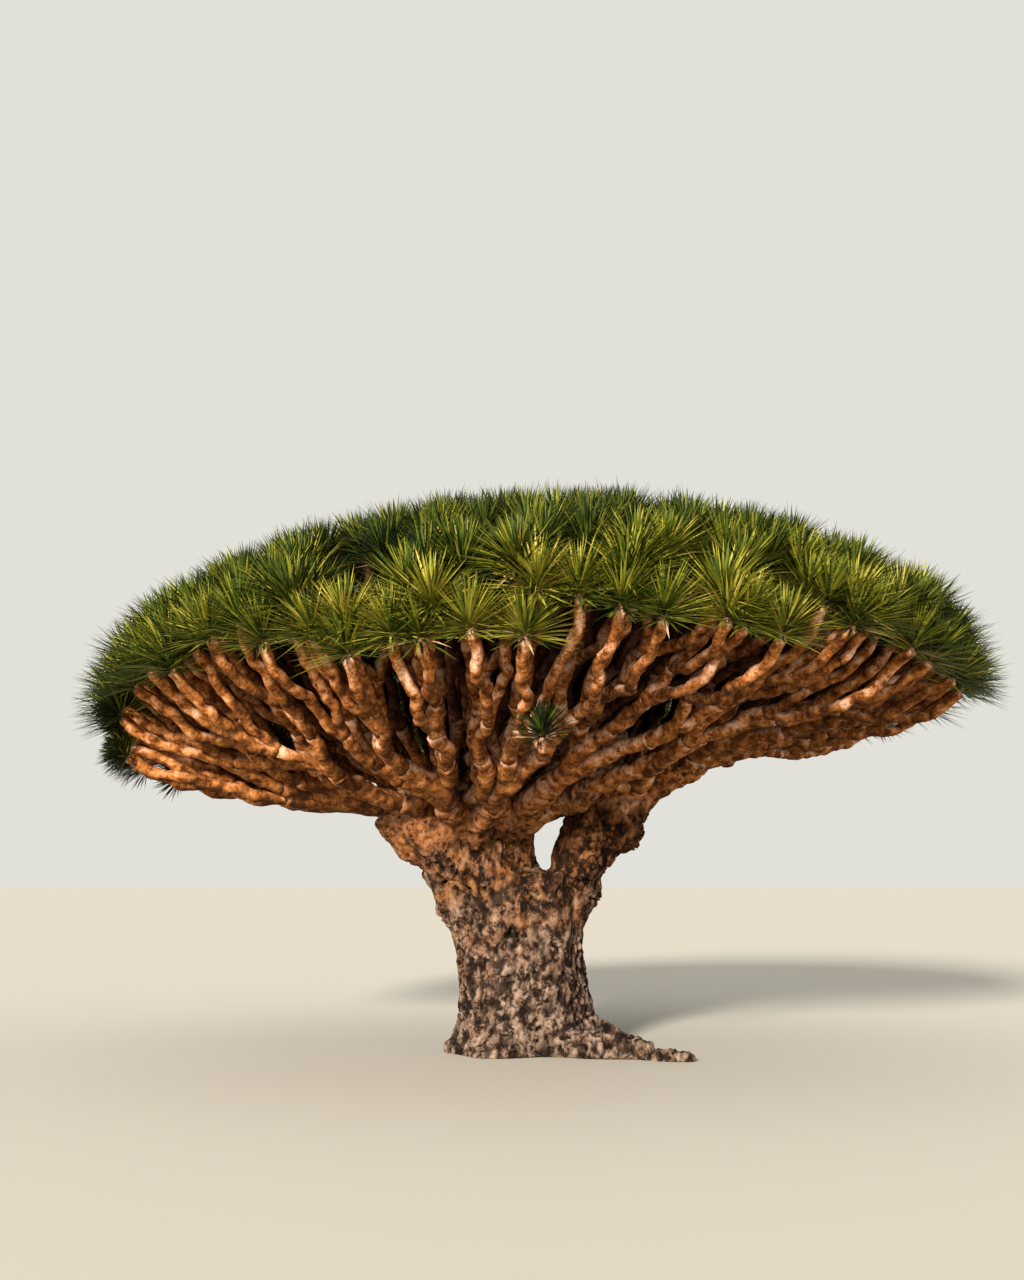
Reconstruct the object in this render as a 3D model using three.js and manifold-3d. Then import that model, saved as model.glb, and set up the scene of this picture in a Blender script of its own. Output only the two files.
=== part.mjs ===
// A dragon blood tree: a fat trunk that forks low, boughs that spread from its two stems,
// and a dome of sword-leaved rosettes carried on forking twigs.
// Millimetres, +Z up. The origin is on the ground, in the flat cut under the trunk.
// From the front the tree is seen along +Y, with +X to the right.
import * as THREE from "three";
import { mergeVertices } from "three/addons/utils/BufferGeometryUtils.js";
import Module from "manifold-3d";

const wasm = await Module();
wasm.setup();

// Named sizes, in millimetres and radians
const seed = 4.7;
const clearGap = 0.4; // kept between two limbs that meet
const leafGap = 3; // kept between the leaves of two rosettes
const cutSize = 4000; // of the blocks that cut the foot and the fork
const turn = 2 * Math.PI;
const degree = Math.PI / 180;
const goldenAngle = Math.PI * (3 - Math.sqrt(5));

// The trunk at each height: the middle of its section, half its width and half its depth
const trunk = {
  sides: 22,
  stations: [
    { height: 0, middle: 25, width: 640, depth: 600 },
    { height: 90, middle: 20, width: 590, depth: 560 },
    { height: 260, middle: 10, width: 555, depth: 530 },
    { height: 520, middle: 5, width: 535, depth: 510 },
    { height: 800, middle: 0, width: 530, depth: 500 },
    { height: 1060, middle: -25, width: 580, depth: 505 },
    { height: 1300, middle: -50, width: 665, depth: 515 },
    { height: 1560, middle: -95, width: 785, depth: 515 },
  ],
  flutes: 7,
  fluteDepth: 0.045,
  fluteTwist: 1 / 900,
};

// Roots that flare out of the foot: the way each one points, its reach, its height and its spread
const rootFlares = [
  { toward: -38, reach: 250, height: 120, spread: 0.3 },
  { toward: -4, reach: 260, height: 190, spread: 0.28 },
  { toward: 62, reach: 190, height: 150, spread: 0.35 },
  { toward: 128, reach: 230, height: 160, spread: 0.32 },
  { toward: 184, reach: 110, height: 190, spread: 0.35 },
  { toward: 238, reach: 170, height: 150, spread: 0.32 },
];

// Two roots that run on over the ground, each from inside the foot over a bend to its end
const groundRoots = {
  sides: 6,
  steps: 4,
  each: [
    { line: [[380, -60, 300], [800, -120, 90], [1130, -230, 10]], radii: [170, 70] },
    { line: [[280, -330, 100], [840, -640, 30], [1420, -860, 0]], radii: [150, 45] },
  ],
};

// The two stems above the fork, by the same measures. Each starts as its side of the trunk's top.
const forkMiddle = 205;
const stemBase = { ...trunk.stations.at(-1), height: 1560.6 };
const stems = {
  left_stem: {
    side: -1,
    stations: [
      stemBase,
      { height: 1690, middle: -450, width: 595, depth: 515 },
      { height: 1830, middle: -485, width: 605, depth: 505 },
      { height: 1990, middle: -490, width: 600, depth: 470 },
      { height: 2130, middle: -460, width: 440, depth: 350 },
    ],
  },
  right_stem: {
    side: 1,
    stations: [
      stemBase,
      { height: 1700, middle: 510, width: 270, depth: 370 },
      { height: 1820, middle: 570, width: 285, depth: 320 },
      { height: 1950, middle: 675, width: 320, depth: 300 },
      { height: 2080, middle: 755, width: 330, depth: 285 },
    ],
  },
};

// Where the boughs spread from, inside the top of each stem
const heads = {
  left: new THREE.Vector3(-430, 0, 1840),
  right: new THREE.Vector3(650, 0, 1930),
};

// The dome on which the feet of the rosettes lie, and the lip where it turns down at the rim,
// most of all on the left
const dome = {
  middle: new THREE.Vector3(160, 0, 0),
  radius: 3500,
  rim: 3000,
  rise: 1160,
  flatness: 1.3,
  slopeX: 0.025,
  slopeY: -0.08,
  lip: 50,
  leftLip: 340,
  lastAngle: 100 * degree,
};

// Boughs in rings: the outer ones run low to the rim, the inner ones rise to the middle of the
// dome. A bough within rightSpan of the bearing rightMiddle springs from the right stem.
const rings = {
  outer: {
    boughs: 7, start: 0, angle: 61 * degree, sag: 1.75, sagSwing: 0.75,
    rightMiddle: 30 * degree, rightSpan: 60 * degree,
    boughRadii: [215, 142], limbRadii: [122, 100],
  },
  inner: {
    boughs: 3, start: 60 * degree, angle: 29 * degree, sag: 1, sagSwing: 0,
    rightMiddle: 0, rightSpan: 26 * degree,
    boughRadii: [175, 122], limbRadii: [108, 86],
  },
};
const limbLetters = ["a", "b"]; // a bough ends in two limbs
const goalSwing = 0.05;

// Shares of the way from a head to the dome: where a bough parts, and where foliage begins
const reach = { bough: 0.25, limb: 0.46 };
const boughForm = { sides: 8, steps: 4, bendAt: 0.5, lift: 30 };
const limbForm = { sides: 6, steps: 3, bendAt: 0.45, lift: 35, rootedBack: 0.12 };
// The bough that crosses from the left stem to the right one and closes the fork gap above
const crossingBough = {
  sides: 8,
  steps: 5,
  line: [[-300, -100, 2080], [300, -120, 2370], [950, -100, 2300]],
  radii: [190, 160],
};
const middleBough = { sides: 8, steps: 6, radii: [150, 100], bendAt: 0.3, sag: 0.9 };

const rosettes = {
  count: 76,
  bearingSwing: 0.12,
  coreRadius: 145,
  sunk: 0.5, // how far the core stands past its foot, in core radii
  under: 0.6, // how far the core reaches back down its twig, in core radii
  around: 6,
  rows: [98 * degree, 50 * degree],
  leaf: 500,
  leafSwing: 0.08,
  leafDroop: 0.16,
  leastShare: 0.3, // a leaf with less room than this is left out
  upward: 1.2, // how much a rosette at the rim faces up, against outward
};

const twig = {
  tipRadius: 50,
  thinning: 0.43, // how the radius falls with the number of rosettes carried
  stemShare: 0.18, // of the way that is left, up to the first fork
  forkShare: 0.36, // the same between two forks
  rootedBack: 0.3, // in radii
  sway: 0.12,
  endBend: 0.35,
  sides: 3,
  stemSides: 5,
  steps: 2,
};

// What a draw of chance is for
const draw = { bearing: 1, goalAngle: 2, goalBearing: 3, boughBend: 5, limbBend: 6, leaf: 8 };

// A repeatable number from 0 to 1 for a few whole numbers
function chance(...keys) {
  const sum = keys.reduce((total, key, i) => total + key * (12.9898 + 65.243 * i), seed);
  const wild = Math.sin(sum) * 43758.5453;
  return wild - Math.floor(wild);
}
const swing = (...keys) => 2 * chance(...keys) - 1;
const mix = (a, b, share) => a + (b - a) * share;
const average = (points) =>
  points.reduce((sum, point) => sum.add(point), new THREE.Vector3()).divideScalar(points.length);

// A closed form through rings of points, each ring with the same number of points
function loft(ringList) {
  const around = ringList[0].length;
  const faces = [];
  for (let r = 0; r + 1 < ringList.length; r++)
    for (let k = 0; k < around; k++) {
      const a = r * around + k;
      const b = r * around + ((k + 1) % around);
      faces.push(a, b, b + around, a, b + around, a + around);
    }
  const top = (ringList.length - 1) * around;
  for (let k = 1; k + 1 < around; k++) faces.push(0, k + 1, k, top, top + k, top + k + 1);
  return new THREE.BufferGeometry().setFromPoints(ringList.flat()).setIndex(faces);
}

function toSolid(geometry) {
  const plain = geometry.clone();
  plain.deleteAttribute("normal");
  plain.deleteAttribute("uv");
  const merged = mergeVertices(plain, 1e-3);
  return new wasm.Manifold(
    new wasm.Mesh({
      numProp: 3,
      vertProperties: merged.attributes.position.array,
      triVerts: new Uint32Array(merged.index.array),
    }),
  );
}

function toGeometry(solid) {
  const mesh = solid.getMesh();
  const geometry = new THREE.BufferGeometry()
    .setAttribute("position", new THREE.BufferAttribute(mesh.vertProperties, 3))
    .setIndex(new THREE.BufferAttribute(mesh.triVerts, 1));
  geometry.computeVertexNormals();
  return geometry;
}

const join = (solids) => solids.reduce((sum, solid) => sum.add(solid));
const touches = (a, b) => a.intersect(b).volume() > 0;

// The largest body of a solid that a cut may have left in pieces
const largest = (solid) => solid.decompose().sort((a, b) => b.volume() - a.volume())[0];

// A block that fills everything under the ground
function underground() {
  const block = new THREE.BoxGeometry(cutSize, cutSize, cutSize);
  return toSolid(block.translate(0, 0, -cutSize / 2));
}

// A block that fills everything past the fork's middle, for the stem on one side of it
function pastFork(side, gap) {
  const block = new THREE.BoxGeometry(cutSize, cutSize, cutSize);
  return toSolid(block.translate(forkMiddle - side * (cutSize / 2 - gap), 0, 0));
}

// How far the root flares reach out, at an angle round the trunk and a height
function flareReach(flares, angle, height) {
  return flares.reduce((sum, flare) => {
    const turned = angle - flare.toward * degree;
    const away = Math.atan2(Math.sin(turned), Math.cos(turned));
    return sum + flare.reach * Math.exp(-height / flare.height - (away / flare.spread) ** 2);
  }, 0);
}

// An upright form through oval sections with flutes and root flares
function column(stations, flares, swell) {
  const ringList = stations.map(({ height, middle, width, depth }) =>
    Array.from({ length: trunk.sides }, (_, k) => {
      const angle = (turn * k) / trunk.sides;
      const fluted = 1 + trunk.fluteDepth * Math.cos(trunk.flutes * angle + height * trunk.fluteTwist);
      const more = flareReach(flares, angle, height) + swell;
      return new THREE.Vector3(
        middle + (width * fluted + more) * Math.cos(angle),
        (depth * fluted + more) * Math.sin(angle),
        height,
      );
    }),
  );
  ringList[0].forEach((p) => (p.z -= swell));
  ringList.at(-1).forEach((p) => (p.z += swell));
  return loft(ringList);
}

// A tapering limb along a smooth line through a few points
function limb(points, radii, { sides, steps }, swell = 0) {
  const line = new THREE.CatmullRomCurve3(points, false, "centripetal");
  const { tangents, normals, binormals } = line.computeFrenetFrames(steps, false);
  const ringList = tangents.map((tangent, i) => {
    const middle = line.getPointAt(i / steps);
    if (i === 0) middle.addScaledVector(tangent, -swell);
    if (i === steps) middle.addScaledVector(tangent, swell);
    const radius = mix(radii[0], radii[1], i / steps) + swell;
    return Array.from({ length: sides }, (_, k) => {
      const angle = (turn * k) / sides;
      return middle.clone()
        .addScaledVector(normals[i], radius * Math.cos(angle))
        .addScaledVector(binormals[i], radius * Math.sin(angle));
    });
  });
  return loft(ringList);
}

// Where a rosette's foot lies on the dome, by the angle from its top and the bearing
function domePoint(angle, bearing) {
  const out = dome.radius * Math.sin(angle);
  const x = out * Math.cos(bearing);
  const y = out * Math.sin(bearing);
  const c = Math.cos(angle);
  const lip = dome.lip + dome.leftLip * Math.max(0, -Math.cos(bearing)) ** 1.5;
  const above = c >= 0 ? dome.rise * c ** dome.flatness : (-lip * c) / Math.cos(dome.lastAngle);
  const sloped = dome.slopeX * x + dome.slopeY * y;
  return new THREE.Vector3(dome.middle.x + x, dome.middle.y + y, dome.rim + above + sloped);
}

// The way a rosette faces: up in the middle of the dome, aslant at its rim
function domeAxis(angle, bearing) {
  const s = Math.sin(angle);
  const c = Math.cos(angle);
  const up = rosettes.upward + (c >= 0 ? c : 2 * c);
  return new THREE.Vector3(s * Math.cos(bearing), s * Math.sin(bearing), up).normalize();
}

// Rosettes spread evenly over the dome's surface, as seeds lie in a sunflower
function rosetteTips() {
  const steps = 60;
  const angleAt = (i) => (dome.lastAngle * i) / steps;
  const areas = [0];
  for (let i = 1; i <= steps; i++) {
    const a = domePoint(angleAt(i - 1), turn / 4);
    const b = domePoint(angleAt(i), turn / 4);
    areas.push(areas[i - 1] + a.distanceTo(b) * (a.y + b.y));
  }
  return Array.from({ length: rosettes.count }, (_, number) => {
    const wanted = (areas[steps] * (number + 0.5)) / rosettes.count;
    const i = areas.findIndex((area) => area >= wanted);
    const angle = angleAt(i - 1 + (wanted - areas[i - 1]) / (areas[i] - areas[i - 1]));
    const bearing = number * goldenAngle + rosettes.bearingSwing * swing(number, draw.bearing);
    return { foot: domePoint(angle, bearing), axis: domeAxis(angle, bearing), number };
  });
}

// A point on the way from a head to a goal on the dome. A large sag keeps it low at first.
function wayTo(head, goal, share, sag) {
  const point = head.clone().lerp(goal, share);
  point.z = mix(head.z, goal.z, share ** sag);
  return point;
}

function springsRight(ring, bearing) {
  return Math.cos(bearing - ring.rightMiddle) > Math.cos(ring.rightSpan);
}

// The plan of the boughs: each has a head, a goal over its limbs, and the limbs' own goals
function boughPlan() {
  const plan = [];
  for (const [ringName, ring] of Object.entries(rings))
    for (let i = 0; i < ring.boughs; i++) {
      const bearing = ring.start + (turn * i) / ring.boughs;
      const goals = limbLetters.map((_, j) => {
        const key = plan.length * 10 + j;
        const apart = (turn / ring.boughs / limbLetters.length) * (j - (limbLetters.length - 1) / 2);
        return domePoint(
          ring.angle + goalSwing * swing(key, draw.goalAngle),
          bearing + apart + goalSwing * swing(key, draw.goalBearing),
        );
      });
      plan.push({
        ring,
        ringName,
        number: i + 1,
        head: springsRight(ring, bearing) ? heads.right : heads.left,
        sag: ring.sag - ring.sagSwing * Math.cos(bearing),
        goal: average(goals),
        goals,
      });
    }
  return plan;
}

const bark = new THREE.MeshStandardMaterial({ color: "#8f8377", roughness: 0.95, metalness: 0 });
const limbBark = new THREE.MeshStandardMaterial({ color: "#a8713f", roughness: 0.9, metalness: 0 });
const foliage = new THREE.MeshStandardMaterial({ color: "#55702a", roughness: 0.6, metalness: 0 });

// The limbs made so far. A new one is cut clear of them, so that no two overlap.
const made = [];
function addCut(name, solid, swollen, material) {
  const cut = made.reduce(
    (rest, other) => (touches(rest, other.swollen) ? largest(rest.subtract(other.swollen)) : rest),
    solid,
  );
  made.push({ name, solid: cut, swollen, material });
}

function addLimb(name, line, radii, form) {
  const shape = (swell) => toSolid(limb(line, radii, form, swell));
  addCut(name, shape(0), shape(clearGap), limbBark);
}

function addTrunk() {
  const runs = groundRoots.each.map(({ line, radii }) =>
    toSolid(limb(line.map((place) => new THREE.Vector3(...place)), radii, groundRoots)));
  const solid = join([toSolid(column(trunk.stations, rootFlares, 0)), ...runs]);
  const swollen = toSolid(column(trunk.stations, rootFlares, clearGap));
  made.push({ name: "trunk", solid: solid.subtract(underground()), swollen, material: bark });
}

function addStems() {
  for (const [name, { side, stations }] of Object.entries(stems)) {
    const shape = (swell) => toSolid(column(stations, [], swell)).subtract(pastFork(side, clearGap - swell));
    addCut(name, shape(0), shape(clearGap), bark);
  }
}

// Where a mass of foliage begins, at the tip of the limb that carries it
function startAt(name, head, sag, goal, line, radius) {
  const tip = line.at(-1);
  return { name, head, sag, goal, tip, along: tip.clone().sub(line.at(-2)).normalize(), radius };
}

// One bough from its head, then the two limbs that part from its end
function addBough({ ring, ringName, number, head, sag, goal, goals }) {
  const end = wayTo(head, goal, reach.bough, sag);
  const bend = wayTo(head, goal, reach.bough * boughForm.bendAt, sag);
  bend.z += boughForm.lift * swing(number, draw.boughBend);
  addLimb(`${ringName}_bough_${number}`, [head, bend, end], ring.boughRadii, boughForm);
  return goals.map((limbGoal, j) => {
    const name = `${ringName}_limb_${number}${limbLetters[j]}`;
    const from = end.clone().lerp(bend, limbForm.rootedBack);
    const halfway = wayTo(head, limbGoal, mix(reach.bough, reach.limb, limbForm.bendAt), sag);
    halfway.z += limbForm.lift * swing(number, j, draw.limbBend);
    const line = [from, halfway, wayTo(head, limbGoal, reach.limb, sag)];
    addLimb(name, line, ring.limbRadii, limbForm);
    return startAt(name, head, sag, limbGoal, line, ring.limbRadii[1]);
  });
}

function addCrossingBough() {
  const line = crossingBough.line.map((place) => new THREE.Vector3(...place));
  addLimb("crossing_bough", line, crossingBough.radii, crossingBough);
}

function addMiddleBough() {
  const name = "middle_bough";
  const head = heads.left;
  const goal = domePoint(0, 0);
  const bend = wayTo(head, goal, middleBough.bendAt, middleBough.sag);
  const line = [head, bend, wayTo(head, goal, reach.limb, 1)];
  addLimb(name, line, middleBough.radii, middleBough);
  return startAt(name, head, 1, goal, line, middleBough.radii[1]);
}

// The share of a leaf, from foot to tip, that stays nearer to its own rosette than to any other
function freeShare(tip, from, to, tips) {
  const along = to.clone().sub(from);
  return tips.reduce((least, other) => {
    if (other === tip) return least;
    const wall = other.foot.clone().sub(tip.foot);
    const half = wall.length() / 2;
    const climb = along.dot(wall.normalize());
    const room = half - leafGap - from.clone().sub(tip.foot).dot(wall);
    return climb > 0 ? Math.min(least, room / climb) : least;
  }, 1);
}

// The core of a rosette: its points, the faces under it, and the faces that each bear a leaf
function rosetteCore({ foot, axis, number }) {
  const { around, rows, coreRadius } = rosettes;
  const side = new THREE.Vector3(0, 0, 1).cross(axis);
  if (side.length() < 0.01) side.set(1, 0, 0);
  side.normalize();
  const other = axis.clone().cross(side);
  const middle = foot.clone().addScaledVector(axis, coreRadius * rosettes.sunk);
  const points = rows.flatMap((row, r) =>
    Array.from({ length: around }, (_, k) => {
      const spin = (turn * (k + r / 2)) / around + number;
      const out = coreRadius * Math.sin(row);
      return middle.clone()
        .addScaledVector(axis, coreRadius * Math.cos(row))
        .addScaledVector(side, out * Math.cos(spin))
        .addScaledVector(other, out * Math.sin(spin));
    }));
  const pole = points.push(middle.clone().addScaledVector(axis, coreRadius)) - 1;
  const base = points.push(middle.clone().addScaledVector(axis, -coreRadius * rosettes.under)) - 1;
  const under = [];
  const bearing = [];
  for (let k = 0; k < around; k++) {
    const next = (k + 1) % around;
    under.push(next, k, base);
    bearing.push([k, next, around + k], [around + k, next, around + next]);
    bearing.push([around + k, around + next, pole]);
  }
  return { middle, points, under, bearing };
}

// A rosette: a core whose every upper face is drawn out into a sword leaf
function rosette(tip, tips) {
  const { middle, points, under: faces, bearing } = rosetteCore(tip);
  bearing.forEach(([a, b, c], i) => {
    const from = average([points[a], points[b], points[c]]);
    const way = from.clone().sub(middle).normalize();
    way.z -= rosettes.leafDroop * (1 - way.dot(tip.axis));
    const length = rosettes.leaf * (1 + rosettes.leafSwing * swing(tip.number, i, draw.leaf));
    const to = from.clone().addScaledVector(way, length);
    const share = freeShare(tip, from, to, tips);
    if (share < rosettes.leastShare) {
      faces.push(a, b, c);
      return;
    }
    const end = points.push(from.lerp(to, share)) - 1;
    faces.push(a, b, end, b, c, end, c, a, end);
  });
  return toSolid(new THREE.BufferGeometry().setFromPoints(points).setIndex(faces));
}

// Two halves of a bunch of tips, parted across the way in which they spread most
function halves(tips) {
  const spreadAlong = (way) => {
    const values = tips.map(({ foot }) => foot[way]);
    return Math.max(...values) - Math.min(...values);
  };
  const [widest] = ["x", "y", "z"].sort((a, b) => spreadAlong(b) - spreadAlong(a));
  const sorted = [...tips].sort((a, b) => a.foot[widest] - b.foot[widest]);
  const half = Math.floor(sorted.length / 2);
  return [sorted.slice(0, half), sorted.slice(half)];
}

// Twigs fork from one stem until each carries one rosette. A twig that would touch a limb or the
// twigs of another mass is skipped, with all that it would carry.
function growTwigs(start, tips, obstacles) {
  const pieces = [];
  const carried = [];
  const addTwig = (line, radii, sides) => {
    const form = { sides, steps: twig.steps };
    const swollen = toSolid(limb(line, radii, form, clearGap));
    if (obstacles.some((other) => touches(swollen, other))) return false;
    pieces.push(toSolid(limb(line, radii, form)));
    return true;
  };
  function grow(from, along, shareSoFar, bunch, sides) {
    const radius = Math.max(twig.tipRadius, start.radius * (bunch.length / tips.length) ** twig.thinning);
    if (bunch.length === 1) {
      const [tip] = bunch;
      const bend = tip.foot.clone().addScaledVector(tip.axis, -twig.endBend * from.distanceTo(tip.foot));
      if (addTwig([from, bend, tip.foot], [radius, twig.tipRadius], sides)) carried.push(tip);
      return;
    }
    const share = mix(shareSoFar, 1, bunch === tips ? twig.stemShare : twig.forkShare);
    const to = wayTo(start.head, average(bunch.map(({ foot }) => foot)), share, start.sag);
    const bend = from.clone().lerp(to, 0.5).addScaledVector(along, twig.sway * from.distanceTo(to));
    const back = from.clone().addScaledVector(along, -twig.rootedBack * radius);
    if (!addTwig([back, bend, to], [radius, radius], sides)) return;
    const onward = to.clone().sub(bend).normalize();
    halves(bunch).forEach((half) => grow(to, onward, share, half, twig.sides));
  }
  grow(start.tip, start.along, reach.limb, tips, twig.stemSides);
  return { twigs: join(pieces), carried };
}

// A mass of foliage for each start: all twigs first, then the rosettes that clear them
function addMasses(starts) {
  const tips = rosetteTips();
  const masses = starts.map((start) => ({ start, tips: [] }));
  for (const tip of tips) {
    const distance = ({ start }) => start.goal.distanceTo(tip.foot);
    masses.reduce((best, mass) => (distance(mass) < distance(best) ? mass : best)).tips.push(tip);
  }
  const limbs = [...made];
  const grown = [];
  for (const { start, tips: own } of masses) {
    const others = limbs.filter(({ name }) => name !== start.name);
    const obstacles = [...others.map(({ swollen }) => swollen), ...grown.map(({ twigs }) => twigs)];
    grown.push({ start, ...growTwigs(start, own, obstacles) });
  }
  for (const mass of grown) {
    const others = grown.filter((other) => other !== mass);
    const obstacles = [...limbs.map(({ swollen }) => swollen), ...others.map(({ twigs }) => twigs)];
    const heads = mass.carried
      .map((tip) => rosette(tip, tips))
      .filter((head) => !obstacles.some((other) => touches(head, other)));
    const carrier = limbs.find(({ name }) => name === mass.start.name);
    const solid = largest(join([mass.twigs, ...heads]).subtract(carrier.swollen));
    made.push({ name: mass.start.name.replace(/limb|bough/, "foliage"), solid, material: foliage });
  }
}

addTrunk();
addStems();
addCrossingBough();
addMasses([...boughPlan().flatMap(addBough), addMiddleBough()]);

const root = new THREE.Group();
for (const { name, solid, material } of made) {
  const mesh = new THREE.Mesh(toGeometry(solid), material);
  mesh.name = name;
  root.add(mesh);
}

export default root;
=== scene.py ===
import math

import bpy
import numpy as np
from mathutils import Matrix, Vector, kdtree, noise


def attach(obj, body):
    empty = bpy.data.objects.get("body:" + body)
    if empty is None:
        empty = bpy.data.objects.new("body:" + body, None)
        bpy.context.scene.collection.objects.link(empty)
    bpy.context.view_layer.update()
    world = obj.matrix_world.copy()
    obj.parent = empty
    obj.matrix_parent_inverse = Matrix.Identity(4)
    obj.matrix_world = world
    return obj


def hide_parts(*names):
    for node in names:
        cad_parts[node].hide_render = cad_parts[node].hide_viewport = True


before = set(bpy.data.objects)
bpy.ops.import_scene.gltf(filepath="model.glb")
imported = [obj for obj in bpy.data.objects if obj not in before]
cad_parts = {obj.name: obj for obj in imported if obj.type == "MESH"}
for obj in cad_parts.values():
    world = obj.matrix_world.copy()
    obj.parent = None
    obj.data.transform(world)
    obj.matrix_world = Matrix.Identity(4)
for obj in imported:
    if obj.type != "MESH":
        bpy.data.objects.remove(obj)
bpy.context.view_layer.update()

# A dragon blood tree: one fused mesh of bark for the trunk and its limbs, forking twigs, and
# rosettes of sword leaves. Metres, +Z up, with the origin on the ground under the trunk.
nodeNames = [str(name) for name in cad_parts]
turn = 2 * math.pi
goldenAngle = math.pi * (3 - math.sqrt(5))
seeds = {"growth": 4.7, "wander": 12, "leaves": 47}
noise.seed_set(seeds["wander"])  # without it noise_vector differs from run to run


# The rule that the CAD source grows the tree by, written again in metres

def chance(*keys):
    # Between 0 and 1, wild but always the same for the same keys
    total = sum((key * (12.9898 + 65.243 * i) for i, key in enumerate(keys)), seeds["growth"])
    wild = math.sin(total) * 43758.5453
    return wild - math.floor(wild)


def swing(*keys):
    return 2 * chance(*keys) - 1


def mix(a, b, share):
    return a + (b - a) * share


def average(points):
    return sum(points, Vector()) / len(points)


frameDome = {  # the goals of the boughs, as in the CAD source
    "middle": Vector((0.16, 0, 0)), "radius": 3.5, "rim": 3.0, "rise": 1.16, "flatness": 1.3,
    "slopeX": 0.025, "slopeY": -0.08, "lip": 0.05, "leftLip": 0.34, "lastAngle": math.radians(100),
}
crownDome = {**frameDome, "radius": 3.68, "rim": 3.04, "rise": 1.32}  # of the real-size rosettes
heads = {"left": Vector((-0.43, 0, 1.84)), "right": Vector((0.65, 0, 1.93))}
rings = [
    {"name": "outer", "boughs": 7, "start": 0.0, "angle": math.radians(61), "sag": 1.75, "sagSwing": 0.75,
     "rightMiddle": math.radians(30), "rightSpan": math.radians(60), "boughRadii": (0.24, 0.17),
     "limbRadii": (0.135, 0.108)},
    {"name": "inner", "boughs": 3, "start": math.radians(60), "angle": math.radians(29), "sag": 1.0,
     "sagSwing": 0.0, "rightMiddle": 0.0, "rightSpan": math.radians(26), "boughRadii": (0.21, 0.145),
     "limbRadii": (0.125, 0.095)},
    # Finer boughs between the two rings, which only this script grows
    {"name": "between", "boughs": 8, "start": math.radians(25), "angle": math.radians(46), "sag": 1.4,
     "sagSwing": 0.3, "rightMiddle": math.radians(20), "rightSpan": math.radians(50),
     "boughRadii": (0.16, 0.12), "limbRadii": (0.105, 0.09)},
]
growth = {
    "limbs": 2, "goalSwing": 0.05, "boughReach": 0.2, "limbReach": 0.34,
    "boughBendAt": 0.5, "boughLift": 0.03, "limbBendAt": 0.45, "limbLift": 0.035, "rootedBack": 0.12,
    "middleRadii": (0.15, 0.1), "middleBendAt": 0.3, "middleSag": 0.9,
    "lift": {"left": 0.24, "right": 0.1},  # of the boughs that leave a stem on its own side
}
draw = {  # a number for each use of chance, so that no two uses share their draws
    "bearing": 1, "goalAngle": 2, "goalBearing": 3, "boughBend": 5, "limbBend": 6, "twigBend": 11,
    "lean": 20, "lift": 30,
}


def domePoint(dome, angle, bearing):
    out = dome["radius"] * math.sin(angle)
    x, y, c = out * math.cos(bearing), out * math.sin(bearing), math.cos(angle)
    lip = dome["lip"] + dome["leftLip"] * max(0, -math.cos(bearing)) ** 1.5
    above = dome["rise"] * c ** dome["flatness"] if c >= 0 else -lip * c / math.cos(dome["lastAngle"])
    sloped = dome["slopeX"] * x + dome["slopeY"] * y
    return Vector((dome["middle"].x + x, dome["middle"].y + y, dome["rim"] + above + sloped))


def domeAxis(angle, bearing):
    s, c = math.sin(angle), math.cos(angle)
    up = rosettes["up"] + (c if c >= 0 else 2 * c)
    return Vector((s * math.cos(bearing), s * math.sin(bearing), up)).normalized()


def wayTo(head, goal, share, sag):
    point = head.lerp(goal, share)
    point.z = mix(head.z, goal.z, share ** sag)
    return point


def boughPlan():
    plan = []
    for ring in rings:
        for i in range(ring["boughs"]):
            bearing = ring["start"] + turn * i / ring["boughs"]
            goals = []
            for j in range(growth["limbs"]):
                key = len(plan) * 10 + j
                apart = turn / ring["boughs"] / growth["limbs"] * (j - (growth["limbs"] - 1) / 2)
                goals.append(domePoint(
                    frameDome,
                    ring["angle"] + growth["goalSwing"] * swing(key, draw["goalAngle"]),
                    bearing + apart + growth["goalSwing"] * swing(key, draw["goalBearing"]),
                ))
            springsRight = math.cos(bearing - ring["rightMiddle"]) > math.cos(ring["rightSpan"])
            stem = "right" if springsRight else "left"
            outward = max(0, math.cos(bearing) * (1 if springsRight else -1))
            plan.append({
                "ring": ring, "number": i + 1, "stem": stem,
                "head": heads[stem] + Vector((0, 0, growth["lift"][stem] * outward)),
                "goal": average(goals), "goals": goals,
                "sag": ring["sag"] - ring["sagSwing"] * math.cos(bearing),
            })
    return plan


# Paths: smooth, sinuous lines with a radius and the distance from the head at each point

paths = {
    "spacing": 0.03, "wander": 0.08, "wanderEvery": 0.42,
    "kink": 0.36, "kinkEvery": 0.13,  # the kinks of a limb, as a share of its wander
    "apart": 7.3,  # how far apart in the noise two paths are read
}


def smoothLine(points, spacing):
    # A curve through three points, in steps of about the spacing
    a, b, c = points
    first, second = (b - a).length, (c - b).length
    m = first / (first + second)
    steps = max(3, round((first + second) / spacing))
    line = []
    for i in range(steps + 1):
        t = i / steps
        wa = (t - m) * (t - 1) / m
        wb = t * (t - 1) / (m * (m - 1))
        wc = t * (t - m) / (1 - m)
        line.append(a * wa + b * wb + c * wc)
    return line


def wander(line, size, key):
    # Sways a line aside between its ends
    for i, point in enumerate(line[1:-1], 1):
        share = i / (len(line) - 1)
        shift = Vector((0, 0, key * paths["apart"]))
        aside = noise.noise_vector(point / paths["wanderEvery"] + shift)
        aside += noise.noise_vector(point / paths["kinkEvery"] + shift) * paths["kink"]
        line[i] = point + aside * size * math.sin(math.pi * share) ** 0.5
    return line


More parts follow.
